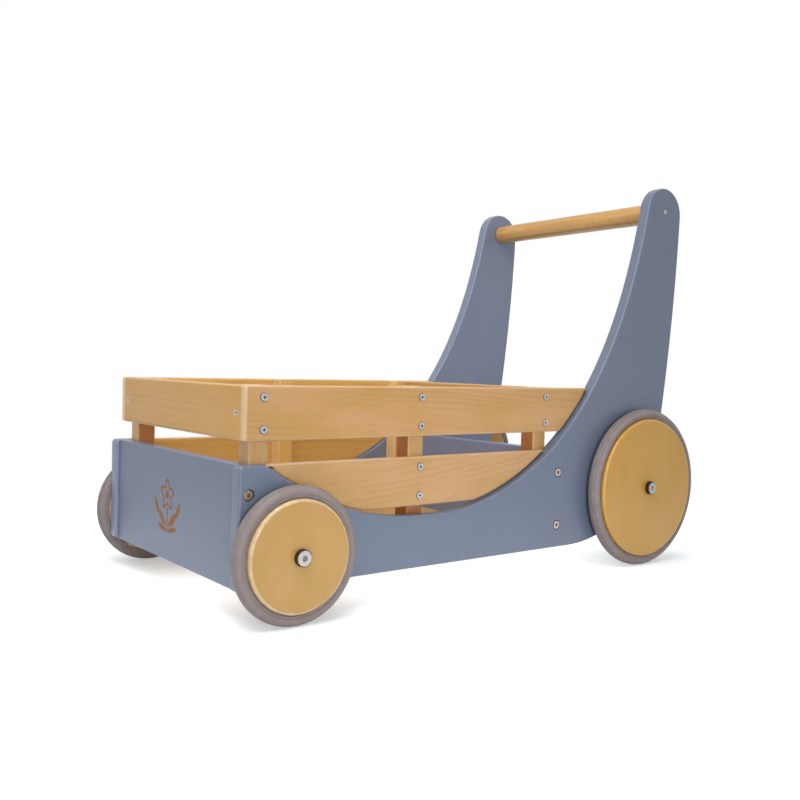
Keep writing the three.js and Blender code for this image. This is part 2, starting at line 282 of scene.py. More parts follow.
def surface(finish, colour, roughness, bump=None, depth=0.0, **fixed):
    """Adds the surface shader. The depth of the bump is in millimetres."""
    inputs = {"Base Color": colour, "Roughness": roughness}
    inputs.update({name.replace("_", " "): value for name, value in fixed.items()})
    if bump is not None:
        heights = {"Height": bump, "Strength": 1, "Distance": depth * MM}
        inputs["Normal"] = finish.node("ShaderNodeBump", {}, heights)
    shader = finish.node("ShaderNodeBsdfPrincipled", {}, inputs)
    finish.node("ShaderNodeOutputMaterial", {}, {"Surface": shader})
    return finish.owner


# %% [markdown]
# ## Paint
# The panels and the two boards are sprayed a soft grey blue. Sprayed paint isn't glass: it dries
# with a very fine orange-peel ripple, and it is a little shinier in some places than in others.
# A thin coat gives the pale sheen along the rounded edges. The finish takes its two blues from
# outside: every piece has the same paint, painted lighter or darker for the light that falls on it.

# %% Satin paint
COAT = 0.3
PAINT_ROUGHNESS, PAINT_UNEVEN = 0.36, 0.14
BURN = tint("875000")


def satin_paint(name, tones, mark=None):
    """A mark is a rule that says where the paint is burnt, from 0 to 1. It dulls its board."""
    finish, place = started(name)
    deep, pale = [tint(code) for code in tones]
    clouds = speckle(place, size=90, detail=3)
    colour = mixed(clouds, deep, pale)
    gloss = {"Coat_Weight": COAT, "Coat_Roughness": 0.3}
    if mark:
        burnt = mark(place)
        colour = mixed(burnt, colour, BURN)
        gloss.update(Coat_Weight=COAT * (1 - burnt), Specular_IOR_Level=0.2)
    ripple = speckle(place, size=1.6, detail=1)
    roughness = PAINT_ROUGHNESS + PAINT_UNEVEN * speckle(place, size=14)
    return surface(finish, colour, roughness, ripple, depth=0.02, **gloss)


# %% [markdown]
# The front board bears a small burnt ornament. A maker's sign would belong to somebody, so this one
# is a plain flower over a few leaves. Each part of it is a distance: a line is where the distance
# to a curve is small, and a leaf is where two circles overlap. A softened step turns distance into
# ink. Burning takes the paint's clear coat away, so the ornament is duller than the paint.

# %% Draw a leaf
LINE_EDGE = 0.35


def ink(distance):
    """1 inside a shape, where the distance in millimetres is negative, and 0 outside."""
    return (0.5 - distance * (0.5 / LINE_EDGE)).clamp()


def leaf(u, v, middle, angle, length, width):
    """The distance to a pointed leaf: what two shifted circles have in common."""
    along = (u - middle[0]) * cos(angle) + (v - middle[1]) * sin(angle)
    across = (v - middle[1]) * cos(angle) - (u - middle[0]) * sin(angle)
    shift = (length * length - width * width) / (4 * width)
    return slant(along, abs(across) + shift) - (shift + width / 2)


# %% Draw the flower and its leaves
MARK_MIDDLE = (-5.5, 87.0)
FLOWER_RISE = 12
PETALS = 5
PETAL_REACH, PETAL_WAVE, PETAL_LINE = 11.8, 3.2, 1.8
FLOWER_EYE = 4.2
STEM_MIDDLE, STEM_HALF, STEM_LINE = -14, 12, 1.5
INK_LEAST, INK_UNEVEN = 0.86, 0.26
# Each leaf's middle across and up, its tilt in degrees, its length and width. The other side
# mirrors them.
LEAVES = (
    (13, -12, 38, 25, 8),
    (12, -22, 12, 22, 6),
    (26, -1, 60, 20, 6.5),
)


def flower_mark(place):
    u, v = place[X] - MARK_MIDDLE[0], place[Z] - MARK_MIDDLE[1]
    above = v - FLOWER_RISE
    distance = slant(u, above)
    petals = PETAL_REACH + PETAL_WAVE * (u.math("ARCTAN2", above) * PETALS).math("COSINE")
    side = abs(u)
    stem = (side - STEM_LINE).math("MAXIMUM", abs(v - STEM_MIDDLE) - STEM_HALF)
    shapes = [abs(distance - petals) - PETAL_LINE, distance - FLOWER_EYE, stem]
    for middle_u, middle_v, angle, length, width in LEAVES:
        shapes.append(leaf(side, v, (middle_u, middle_v), radians(angle), length, width))
    nearest = shapes[0]
    for shape in shapes[1:]:
        nearest = nearest.math("MINIMUM", shape)
    uneven = INK_LEAST + INK_UNEVEN * speckle(place, size=3)
    return (ink(nearest) * uneven).clamp()


# %% Mix the paints
# Painted light and shade: one blue paint in four tones. The right panel and the rear board, whose
# faces look into the crate, are painted lighter, and the front board a little lighter than the left
# panel.
front_paint = satin_paint("front_board_paint_with_flower", ("697288", "6e778c"), flower_mark)
left_paint = satin_paint("left_panel_paint", ("626c81", "677286"))
right_paint_lightened = satin_paint("right_panel_paint_painted_lighter", ("757e96", "7b859c"))
rear_paint_lightened = satin_paint("rear_board_paint_painted_lighter", ("76819d", "7b86a2"))
print("nodes in the front board's paint:", len(front_paint.node_tree.nodes))

# %% [markdown]
# ## Wood
# A tree adds a ring a year: pale wood in spring, a narrow darker line before winter. A slat is cut
# out of those rings, so its grain is worked out and not painted on: the distance from the tree's
# heart, swayed a little along the trunk, gives the ring, and the fraction gives the season. The
# same rule makes long lines on a face and arcs on an end.

# %% Grow the rings
SWAY = 26
YEAR = [(0, 0), (0.5, 0.18), (0.88, 1), (0.96, 0.35), (1, 0)]


def seasons(place, grain, heart, ring):
    """0 in the pale wood of a year, 1 in its darkest line."""
    across = [axis for axis in range(3) if axis != grain]
    distance = slant(*[place[axis] - centre for axis, centre in zip(across, heart)])
    year = (distance + SWAY * fibrous(place, grain, size=(55, 330))) / ring
    return ramp(year.math("FRACT"), YEAR)


# %% Find the cut faces and the edges
EDGE_FULL, EDGE_UP_TO = 0.8, 0.97


def cut_across(finish, axis):
    """1 where the surface looks along this axis, 0 where it looks to one side."""
    return rise(abs(thirds(finish, "Normal")[axis]), low=0.6, high=0.9)


def rounded_edges(finish):
    """1 on a rounded edge, where the surface looks along none of the three axes."""
    parts = [abs(part) for part in thirds(finish, "Normal")]
    largest = parts[X].math("MAXIMUM", parts[Y]).math("MAXIMUM", parts[Z])
    return ramp(largest, [(EDGE_FULL, 1), (EDGE_UP_TO, 0)])


# %% [markdown]
# The slats and posts are lacquered pine with a quiet grain: broad patches that are a little pinker
# or yellower, faint year lines that come and go, very fine fibres and here and there a short dark
# streak. The rounded edges are painted paler, a painted highlight. Lacquer is a clear coat, so it
# shows as a pale sheen where the piece looks at the sky. The pine's tone is also set by place, and
# some posts have another tone on one pair of faces or at the foot: painted light and shade for
# how much light reaches them.

# %% Lacquered pine
PINE_END, PINE_EDGE_HIGHLIGHT = tint("e0bd93"), tint("d9bfa6")
FIBRES_FROM, FIBRE_SHARE = 0.45, 0.7
STREAK_SHARE, FACE_SHARE = 0.35, 0.85
FOOT_TOP, FOOT_FADE = 122, 35
PINE_ROUGHNESS = 0.36


def pine(name, grain, heart, tones, ring=5.5, coat=0.4, edge=0.35, tilt=0, figure=0.42,
         faces=None, foot=None):
    """Pine in three tones: a yellow one, a pink one and a dark one. A tilt lets the grain climb
    along a slat, and the figure is how strongly its year lines show. The edge is how strongly the
    rounded edges get a painted highlight. The pair of faces across one axis and the foot of a post
    can have tones of their own: painted light or shade for how light falls there."""
    finish, place = started(name)
    if tilt:
        place[Z] = place[Z] - tilt * place[Y]
    yellow, pink, dark = [tint(code) for code in tones]
    season = seasons(place, grain, heart, ring)
    patches = rise(fibrous(place, grain, size=(26, 90)), low=0.38, high=0.62)
    shown = rise(fibrous(place, grain, size=(24, 170), detail=1), low=0.35, high=0.75)
    fibres = fibrous(place, grain, size=(0.7, 22), detail=3)
    streaks = rise(fibrous(place, grain, size=(1.3, 26), detail=1), low=0.68, high=0.8)
    colour = mixed(patches, yellow, pink)
    colour = mixed(season * shown * figure, colour, dark)
    colour = mixed((fibres - FIBRES_FROM).clamp() * FIBRE_SHARE, colour, dark)
    colour = mixed(streaks * STREAK_SHARE, colour, dark)
    # Painted light and shade: one pair of faces and the foot of a post take tones of their own.
    if faces:
        axis, code = faces
        colour = mixed(cut_across(finish, axis) * FACE_SHARE, colour, tint(code))
    if foot:
        dim = ((FOOT_TOP - place[Z]) / FOOT_FADE).clamp()
        colour = mixed(dim * FACE_SHARE, colour, tint(foot))
    # Painted highlight: the rounded edges are mixed towards a pale tone.
    colour = mixed(rounded_edges(finish) * edge, colour, PINE_EDGE_HIGHLIGHT)
    colour = mixed(cut_across(finish, grain) * FACE_SHARE, colour, PINE_END)
    roughness = PINE_ROUGHNESS + UNEVEN * fibres
    relief = fibres + 0.5 * season
    return surface(finish, colour, roughness, relief, depth=0.03, Coat_Weight=coat,
                   Coat_Roughness=0.25)


# %% Mix the pine of the slats
# Painted light and shade: one pine, set lighter or darker by place for the light each piece gets.
# The far slats, seen from inside the crate, are painted much lighter. The other tones differ a
# little for the same reason.
PINE_NEAR = ("bc9150", "c59863", "9c6c34")
PINE_LOW = ("bc9254", "c49a68", "9c6c34")
PINE_FAR_PAINTED_LIGHTER = ("deae5a", "e4b063", "9f692a")
PINE_ACROSS = ("c5964a", "cb9b57", "ac7e3e")
left_heart, right_heart = (62, 60), (-62, 60)
heart_before = crate_middle - 260
pine_slats = {
    "upper_left": pine("pine_upper_left_slat", Y, left_heart, PINE_NEAR, tilt=-0.07),
    "lower_left": pine("pine_lower_left_slat", Y, left_heart, PINE_LOW, tilt=0.14, figure=0.54),
    "upper_right": pine("pine_upper_right_slat", Y, right_heart, PINE_FAR_PAINTED_LIGHTER),
    "lower_right": pine("pine_lower_right_slat", Y, right_heart, PINE_FAR_PAINTED_LIGHTER),
}
pine_across = pine("pine_end_slats", X, (heart_before, 95), PINE_ACROSS, coat=0.1)
print("nodes in a slat's pine:", len(pine_across.node_tree.nodes))

# %% Mix the pine of the posts
# Painted light: the posts are a little lighter than the near slats, and the inner right posts, seen
# from inside the crate, are much lighter.
PINE_POST = ("c29755", "ca9e68", "a3743e")
PINE_INNER_PAINTED_LIGHTER = ("e4b763", "e7ba6a", "b9863a")
POST_RING = 3.6


def post_pine(name, heart_x, tones, **own):
    return pine(f"pine_{name}", Z, (heart_x, heart_before), tones, POST_RING, **own)


# Painted light and shade: the inner left posts are painted darker on their front and rear faces and
# at the foot, the front right post darker on its side faces, and the inner right posts lighter on
# their front and rear faces.
post_woods = {
    "front_left": post_pine("front_left_post", 60, PINE_POST),
    "inner_left": post_pine("inner_left_posts_painted_shade", 60, PINE_POST, edge=0.1, faces=(Y, "aa6630"),
                            foot="965418"),
    "front_right": post_pine("front_right_post_painted_light_and_shade", -60, PINE_FAR_PAINTED_LIGHTER, faces=(X, "ab6834")),
    "inner_right": post_pine("inner_right_posts_painted_light", -60, PINE_INNER_PAINTED_LIGHTER, faces=(Y, "ecc68c")),
}
print("kinds of post pine:", len(post_woods))

# %% [markdown]
# The wheels' discs and the floor are plywood with a plain face, where the grain is only a faint
# mottling. The bar is a turned beech dowel: beech has short dark flecks instead of lines.

# %% Plain plywood
RIM_WIDTH = 3.2
RIM_HIGHLIGHT_BREAKUP = [(0.3, 0.3), (0.7, 0.95)]
MOTTLE_SHARE = 0.8
VEIN_FROM, VEIN_SHARE = 0.55, 0.5
VENEER_ROUGHNESS = 0.34


def from_axis(place, node):
    """How far the point lies from the axis on which a round node turns, in millimetres."""
    low, high = corners_mm(node)
    return slant(place[Y] - (low.y + high.y) / 2, place[Z] - (low.z + high.z) / 2)


def veneer(name, grain, tones, cloud, disc=None, rim_highlight_tone=None):
    """Plywood in a pale and a dark tone. On a wheel's disc, the rim gets a painted highlight, a
    paler tone broken up by a speckle.
    """
    pale, dark = [tint(code) for code in tones]
    finish, place = started(name)
    mottle = fibrous(place, grain, cloud, detail=3)
    fibres = fibrous(place, grain, size=(0.8, 12))
    colour = mixed(rise(mottle, low=0.35, high=0.65) * MOTTLE_SHARE, pale, dark)
    colour = mixed((fibres - VEIN_FROM).clamp() * VEIN_SHARE, colour, dark)
    # Painted highlight: the outer rim of a disc is mixed towards a pale tone.
    if disc:
        painted_rim_highlight = (from_axis(place, disc) - (round_size(disc)[0] - RIM_WIDTH)).clamp()
        highlight_breakup = ramp(speckle(place, size=[4, 5, 5], detail=3), RIM_HIGHLIGHT_BREAKUP)
        colour = mixed(painted_rim_highlight * highlight_breakup, colour, tint(rim_highlight_tone))
    roughness = VENEER_ROUGHNESS + UNEVEN * mottle
    return surface(finish, colour, roughness, fibres, depth=0.012, Coat_Weight=0.4,
                   Coat_Roughness=0.3)


# %% Turned beech
BEECH_PALE, BEECH_DARK = tint("d5a764"), tint("af7633")
FLECK_SHARE, BAND_SHARE = 0.45, 0.5
BEECH_ROUGHNESS, BEECH_UNEVEN = 0.34, 0.1


def beech(name, grain):
    finish, place = started(name)
    flecks = rise(fibrous(place, grain, size=(0.8, 9), detail=1), low=0.56, high=0.66)
    bands = rise(fibrous(place, grain, size=(5, 110)), low=0.35, high=0.7)
    colour = mixed(bands * BAND_SHARE, BEECH_PALE, BEECH_DARK)
    colour = mixed(flecks * FLECK_SHARE, colour, BEECH_DARK)
    roughness = BEECH_ROUGHNESS + BEECH_UNEVEN * flecks
    return surface(finish, colour, roughness, flecks, depth=0.01, Coat_Weight=0.15,
                   Coat_Roughness=0.25)


# %% Mix the plywood and the beech
FLOOR_CLOUD, DISC_CLOUD = (14, 240), (30, 55)
floor_veneer = veneer("floor_veneer", Y, ("d6a962", "c89a54"), FLOOR_CLOUD)
front_disc_wood = veneer("front_disc_wood", Z, ("bb9050", "b08a3e"), DISC_CLOUD,
                         disc="wheel_disc_front_left", rim_highlight_tone="d9c09c")
rear_disc_wood = veneer("rear_disc_wood", Z, ("bf9038", "b98b2a"), DISC_CLOUD,
                        disc="wheel_disc_rear_left", rim_highlight_tone="c4913e")
dowel = beech("turned_beech", X)
print("finishes so far:", len(bpy.data.materials))

# %% [markdown]
# ## Rubber and steel
# The tyres are a soft grey-brown rubber, moulded with very fine rings that the eye reads as a dull
# shimmer. The rings are a wave of the distance from the axle, so they follow the tyre. Four lines
# round its tread are painted darker, a painted shade in their grooves; the grooves are cut later,
# when the tyre is turned. The bolts are zinc-plated steel: the wheel bolts and screws are bright,
# the bolts sunk in the panels have dulled. A head's turned side is painted dark, a painted dark
# reflection, and its drive is painted darker, a painted shade in the recess.

# %% Soft rubber
RUBBER, RUBBER_DUSTY, RUBBER_GROOVE_SHADE = tint("837876"), tint("8c817f"), tint("6a605e")
RING_PITCH = 1.3
TYRE_LINES = (3.6, 6.3, 9.0, 11.7)
GROOVE_SHADE_HALF, GROOVE_SHADE_SHARE = 0.9, 0.5
RUBBER_ROUGHNESS = 0.5


def rubber(name, node):
    finish, place = started(name)
    across = abs(place[X]) - corners_mm(node)[0].x
    # Painted shade: the four lines round the tread are darkened, standing in for shade in their
    # grooves.
    lines = [(1 - abs(across - line) / GROOVE_SHADE_HALF).clamp() for line in TYRE_LINES]
    groove_shade = sum(lines[1:], lines[0])
    dust = speckle(place, size=9, detail=3)
    grit = speckle(place, size=0.6, detail=1)
    distances = (from_axis(place, node), place[X])
    outwards, sideways = [(part * (2 * pi / RING_PITCH)).math("SINE") for part in distances]
    relief = 0.5 * (outwards + sideways) + 0.4 * grit
    colour = mixed(rise(dust, low=0.35, high=0.7), RUBBER, RUBBER_DUSTY)
    colour = mixed(groove_shade * GROOVE_SHADE_SHARE, colour, RUBBER_GROOVE_SHADE)
    roughness = RUBBER_ROUGHNESS + UNEVEN * dust
    return surface(finish, colour, roughness, relief, depth=0.05, Specular_IOR_Level=0.35)


front_rubber = rubber("front_tyre_rubber", "tyre_front_left")
rear_rubber = rubber("rear_tyre_rubber", "tyre_rear_left")
print("finishes so far:", len(bpy.data.materials))

# %% Plated steel
def steel(name, code, stain, rough):
    finish, place = started(name)
    stains = speckle(place, size=2.2, detail=3)
    scratches = fibrous(place, Y, size=(0.25, 1.5))
    colour = mixed(rise(stains, low=0.45, high=0.7), tint(code), tint(stain))
    return surface(finish, colour, rough + UNEVEN * stains, scratches, depth=0.003, Metallic=1.0)


# Painted reflection and shade: the sides of the heads are painted dark, standing in for dark
# reflections, and the drives darker, standing in for shade in the recess.
screw_face = steel("screw_face", "c9cad0", "a5a4a6", 0.25)
screw_side = steel("screw_side", "8f8d90", "6c6866", 0.3)
hub_face = steel("hub_face", "b0aaa7", "9d9793", 0.22)
steel_side = steel("steel_side_painted_dark_reflection", "4b423e", "2e2826", 0.35)
steel_drive = steel("steel_drive_painted_shade", "94887f", "6f635b", 0.45)
screw_drive = steel("screw_drive", "625f5f", "434040", 0.4)
spacer_steel = steel("spacer_steel", "8d8371", "5f5648", 0.38)
front_bolt_face = steel("front_bolt_face", "aa9b80", "756a54", 0.35)
rear_bolt_face = steel("rear_bolt_face", "c4b3ab", "ab9a92", 0.4)
print("finishes:", len(bpy.data.materials))

# %% [markdown]
# ## Tools for flat pieces
# Panels, boards, slats and posts are all one shape: an outline with a thickness whose edges have
# been rounded with a router. The router's path is the outline, shrunk step by step while it goes up
# a quarter circle. So each piece is a stack of rings, closed by two flat caps. Doing it this way
# and not with a bevel modifier keeps the curved ends of the slats exact.

# %% Draw curves
def bezier(points, steps):
    """Points along the curve that these points pull, by sliding between each pair of them."""
    def slide(share):
        row = points
        while len(row) > 1:
            row = [a.lerp(b, share) for a, b in zip(row, row[1:])]
        return row[0]
    return [slide(step / steps) for step in range(steps + 1)]


def arc(centre, radius, start, end, steps):
    turns = [start + (end - start) * step / steps for step in range(steps + 1)]
    return [centre + radius * Vector((cos(turn), sin(turn))) for turn in turns]


# %% Soften and shrink an outline
GENTLE_BEND = radians(150)
CORNER_STEPS = 5
SHARPEST = 0.5


def neighbours(outline):
    """Each point of a closed outline with the one before it and the one after it."""
    return zip(outline[-1:] + outline[:-1], outline, outline[1:] + outline[:1])


def softened(corners, radius):
    """Rounds the sharp corners of an outline and leaves its gentle bends alone."""
    points = []
    for before, corner, after in neighbours(corners):
        back, ahead = (before - corner).normalized(), (after - corner).normalized()
        if back.dot(ahead) < cos(GENTLE_BEND):
            points.append(corner)
        else:
            ends = [corner + radius * back, corner, corner + radius * ahead]
            points += bezier(ends, CORNER_STEPS)
    return points


def shrunk(outline, inset):
    """Moves an anticlockwise outline inwards by the same distance everywhere."""
    moved = []
    for before, point, after in neighbours(outline):
        come, go = (point - before).normalized(), (after - point).normalized()
        inwards = (Vector((-come.y, come.x)) + Vector((-go.y, go.x))).normalized()
        moved.append(point + inwards * inset / max(SHARPEST, inwards.dot(Vector((-go.y, go.x)))))
    return moved


# %% Join rings and cover them
def stitch(shape, first, second):
    """Faces between two rings of vertices, or between a ring and a single point."""
    if len(first) == 1:
        first, second = second, first
    count = len(first)
    made = []
    for i in range(count):
        j = (i + 1) % count
        corners = [first[i], first[j]]
        corners += [second[j], second[i]] if len(second) == count else second
        made.append(shape.faces.new(corners))
    return made


def cover(shape, loops):
    """A flat cap inside the first loop, with an opening for each other loop."""
    corners = [vertex for loop in loops for vertex in loop]
    triangles = tessellate_polygon([[vertex.co for vertex in loop] for loop in loops])
    return [shape.faces.new([corners[i] for i in triangle]) for triangle in triangles]


# %% Make a plate
ROUNDING_STEPS = 5
HOLE_SIDES = 40
HOLE_CHAMFER = 0.25 * MM


def ring_at(shape, points, height):
    return [shape.verts.new((point.x, point.y, height)) for point in points]


def bored(shape, centre, radius, depth, top):
    """The walls and the floor of a round hole. Returns the loop at its mouth."""
    sizes = [(radius + HOLE_CHAMFER, top), (radius, top - HOLE_CHAMFER), (radius, top - depth)]
    circles = [arc(centre, size, 0, 2 * pi, HOLE_SIDES)[:-1] for size, _ in sizes]
    loops = [ring_at(shape, circle, height) for circle, (_, height) in zip(circles, sizes)]
    stitch(shape, loops[0], loops[1])
    stitch(shape, loops[1], loops[2])
    shape.faces.new(loops[2])
    return loops[0]


def plate(outline, thickness, rounding, holes=()):
    """A flat piece from z = 0 up. A hole is (centre, radius, depth) in its upper face."""
    shape = bmesh.new()
    turns = [radians(90) * step / ROUNDING_STEPS for step in range(ROUNDING_STEPS + 1)]
    edge = [(rounding * (1 - sin(turn)), rounding * (1 - cos(turn))) for turn in turns]
    levels = edge + [(inset, thickness - rise_up) for inset, rise_up in reversed(edge)]
    rings = [ring_at(shape, shrunk(outline, inset), height) for inset, height in levels]
    for low, high in zip(rings, rings[1:]):
        stitch(shape, low, high)
    cover(shape, [rings[0]])
    cover(shape, [rings[-1]] + [bored(shape, *hole, thickness) for hole in holes])
    return shape


# %% [markdown]
# A finished piece is hung where the solid model has it. It rides on the solid's body, it stands in
# for the solid, and it carries its finishes.

# %% Set a piece in place
CREASE = radians(38)
WELD = 0.001 * MM
hung = []


def lie(along, up, out, origin):
    """The matrix that turns x, y and z to these directions and moves them to the origin."""
    turn = Matrix((along, up, out)).transposed().to_4x4()
    turn.translation = origin
    return turn


def hang(name, shape, finishes, body):
    """Turns a shape into an object with soft shading on its curves, and puts it on a body."""
    bmesh.ops.remove_doubles(shape, verts=shape.verts, dist=WELD)
    bmesh.ops.recalc_face_normals(shape, faces=shape.faces)
    mesh = bpy.data.meshes.new(name)
    shape.to_mesh(mesh)
    shape.free()
    mesh.shade_smooth()
    mesh.set_sharp_from_angle(angle=CREASE)
    for finish in finishes:
        mesh.materials.append(finish)
    piece = bpy.data.objects.new(name, mesh)
    bpy.context.scene.collection.objects.link(piece)
    even = piece.modifiers.new("flat faces stay flat", "WEIGHTED_NORMAL")
    even.keep_sharp = True
    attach(piece, body)
    hung.append(name)
    return piece


def dress(node, shape, *finishes):
    """Hangs a shape in the place of a CAD node."""
    body = body_of(frame["nodes"][node])[0]
    piece = hang(f"{node}_finished", shape, finishes, body)
    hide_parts(node)


print("nodes to dress:", len(frame["nodes"]))

# %% [markdown]
# ## Side panels
# Each panel is one sheet of plywood, cut along a line that starts level at the front, dips along
# the crate and then climbs to the round end that holds the bar. Two Bezier curves, meeting level at
# the lowest point, give that line, as a bent batten would. The edge is rounded to 2.5 mm.

# %% The swept line
BLOCK_LENGTH = 26.7
SHOULDER_SLOPE = radians(33.1)
DIP_DEPTH = 59
DIP_OFFSET = 19
NECK_LEAN = radians(11.8)
HANDLE_END = Vector((377, 432.4))
HANDLE_END_RADIUS = 32
DIP_PULL, DIP_STEPS = (0.495, 0.343), 40
SWEEP_PULL, SWEEP_STEPS = (0.148, 0.958), 64

panel_low = corners_mm("side_panel_left")[0]
panel_front, panel_bottom = panel_low.y - crate_middle, panel_low.z
block_top = corners_mm("front_board")[1].z
shoulder = Vector((panel_front + BLOCK_LENGTH, block_top))
lowest = Vector((DIP_OFFSET, block_top - DIP_DEPTH))
neck = HANDLE_END + HANDLE_END_RADIUS * Vector((-cos(NECK_LEAN), sin(NECK_LEAN)))
dip_run = lowest.x - shoulder.x
slope = Vector((cos(SHOULDER_SLOPE), -sin(SHOULDER_SLOPE)))
climb = Vector((sin(NECK_LEAN), cos(NECK_LEAN)))
dip = bezier([
    shoulder,
    shoulder + DIP_PULL[0] * dip_run * slope,
    lowest - Vector((DIP_PULL[1] * dip_run, 0)),
    lowest,
], DIP_STEPS)
sweep = bezier([
    lowest,
    lowest + Vector((SWEEP_PULL[0] * (neck.x - lowest.x), 0)),
    neck - SWEEP_PULL[1] * (neck.y - lowest.y) * climb,
    neck,
], SWEEP_STEPS)
print("the dip's lowest point:", [round(v, 1) for v in lowest])
print("the neck:", [round(v, 1) for v in neck])

# %% The whole outline of a panel
PANEL_CORNER, PANEL_CORNER_STEPS = 4, 8
BACK_LEAN, BACK_STEPS = radians(2.1), 14
HEEL_LEAN, HEEL_STEPS = radians(9.1), 30
HEEL = Vector((383.7, 175))
HEEL_RUN = 165
ROUND_SHARE = 0.55
HANDLE_END_STEPS = 56

back_top = HANDLE_END + HANDLE_END_RADIUS * Vector((cos(BACK_LEAN), -sin(BACK_LEAN)))
back_way = Vector((-sin(BACK_LEAN), -cos(BACK_LEAN)))
heel_way = Vector((-sin(HEEL_LEAN), -cos(HEEL_LEAN)))
level = Vector((HEEL.x - HEEL_RUN, panel_bottom))
back = bezier([back_top, back_top + back_way * (back_top.y - HEEL.y) / 2, HEEL], BACK_STEPS)
round_heel = bezier([
    HEEL,
    HEEL + heel_way * ROUND_SHARE * (HEEL.y - level.y),
    level + Vector((ROUND_SHARE * HEEL_RUN, 0)),
    level,
], HEEL_STEPS)
corner_x = panel_front + PANEL_CORNER
low_corner = Vector((corner_x, panel_bottom + PANEL_CORNER))
high_corner = Vector((corner_x, block_top - PANEL_CORNER))
clockwise = (
    arc(low_corner, PANEL_CORNER, -pi / 2, -pi, PANEL_CORNER_STEPS)
    + arc(high_corner, PANEL_CORNER, pi, pi / 2, PANEL_CORNER_STEPS)
    + dip
    + sweep[1:-1]
    + arc(HANDLE_END, HANDLE_END_RADIUS, pi - NECK_LEAN, -BACK_LEAN, HANDLE_END_STEPS)
    + back[1:]
    + round_heel[1:]
)
panel_outline = [point * MM for point in reversed(clockwise)]
print("points round a panel:", len(panel_outline))

# %% [markdown]
# Where the bolts and the screw go in, the panel has round counterbores. Their places come from the
# bolts themselves. The hole is a little wider than the head, so a dark ring shows round it.

# %% Cut and hang the panels
PANEL_ROUNDING = 2.5 * MM
HOLE_ROOM = 0.45 * MM
BORE_DEPTH = 5 * MM
FASTENED = ("board_bolt_front_lower", "board_bolt_front_upper", "board_bolt_rear_lower",
            "board_bolt_rear_upper", "handle_screw")


def sunk(node):
    """The hole in a panel round a sunk head."""
    low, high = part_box(node)
    seat = Vector(((low.y + high.y) / 2 - crate_middle * MM, (low.z + high.z) / 2))
    return seat, (high.z - low.z) / 2 + HOLE_ROOM, BORE_DEPTH


def upright(node, side, outline, rounding, holes):
    """A plate that stands along the walker and shows its holes on the outside."""
    low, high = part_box(node)
    shape = plate(outline, high.x - low.x, rounding, holes)
    inner, out = (low.x, 1) if side == "left" else (high.x, -1)
    origin = Vector((inner, crate_middle * MM, 0))
    shape.transform(lie(TO_REAR, UP, Vector((out, 0, 0)), origin))
    return shape


for side, paint in (("left", left_paint), ("right", right_paint_lightened)):
    node = f"side_panel_{side}"
    holes = [sunk(f"{fastened}_{side}") for fastened in FASTENED]
    dress(node, upright(node, side, panel_outline, PANEL_ROUNDING, holes), paint)
print("pieces hung:", len(hung))

# %% [markdown]
# ## Boards, posts and end slats
# These are straight pieces, so each takes its outline from its solid's box. What differs is which
# way the broad face looks, and how far the edges are rounded. The front board's face carries the
# ornament. The end slats have a shallow hole near each end, where a screw's head sits.

# %% Straight pieces
def slab(node, normal, corner, rounding, holes=()):
    """A board whose broad face looks along the normal. The softness of its corners and of its
    edges is in millimetres."""
    low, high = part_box(node)
    out = Vector(normal)
    thin = max(range(3), key=lambda axis: abs(out[axis]))
    along, up = [axis for axis in range(3) if axis != thin]
    size = high - low
    corners = [(0, 0), (size[along], 0), (size[along], size[up]), (0, size[up])]
    outline = softened([Vector(corner_place) for corner_place in corners], corner * MM)
    shape = plate(outline, size[thin], rounding * MM, holes)
    origin = low.copy()
    origin[thin] = low[thin] if out[thin] > 0 else high[thin]
    directions = [Vector([float(axis == i) for i in range(3)]) for axis in (along, up)]
    shape.transform(lie(*directions, out, origin))
    return shape


dress("front_board", slab("front_board", (0, -1, 0), corner=1.2, rounding=0.9), front_paint)
dress("rear_board", slab("rear_board", (0, 1, 0), corner=1.2, rounding=1.6), rear_paint_lightened)
dress("floor_board", slab("floor_board", UP, corner=1.5, rounding=0.8), floor_veneer)
for end in ("front", "middle", "rear"):
    for side in ("left", "right"):
        node = f"post_{end}_{side}"
        wood = post_woods[f"front_{side}" if end == "front" else f"inner_{side}"]
        dress(node, slab(node, UP, corner=2.2, rounding=1.2), wood)
print("pieces hung:", len(hung))

# %% End slats with holes for sunk heads
ENDS = (("front", -1), ("rear", 1))
END_SCREW_INSET = 10 * MM
END_SCREW_RADIUS = 3.5 * MM
END_HOLE_ROOM = 0.15 * MM
END_HOLE_DEPTH = 2.6 * MM
for end, out in ENDS:
    node = f"upper_slat_{end}"
    low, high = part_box(node)
    size = high - low
    centres = [Vector((x, size.z / 2)) for x in (END_SCREW_INSET, size.x - END_SCREW_INSET)]
    holes = [(centre, END_SCREW_RADIUS + END_HOLE_ROOM, END_HOLE_DEPTH) for centre in centres]
    dress(node, slab(node, (0, out, 0), corner=2, rounding=2.2, holes=holes), pine_across)
print("an end slat in mm:", [round(side / MM, 1) for side in size])

# %% [markdown]
# ## Side slats
# The side slats lie on the panels' outer part and end where the panel sweeps past them, with a gap
# of 2 mm, or 1 mm at the front. The gap's edge is the swept line moved sideways. The slat's end is
# the stretch of that line between the slat's lower and upper edge. Each screw sits in a shallow
# recess, which its head presses into the soft wood when it is driven home.

# %% Find where a slat meets the sweep
SLAT_GAP = 2
SLAT_FRONT_GAP = 1
SLAT_CLEAR = 3


def beside(curve, gap):
    """The curve moved to its left by the gap."""
    moved = []
    for i, point in enumerate(curve):
        way = (curve[min(i + 1, len(curve) - 1)] - curve[max(i - 1, 0)]).normalized()
        moved.append(point + gap * Vector((-way.y, way.x)))
    return moved


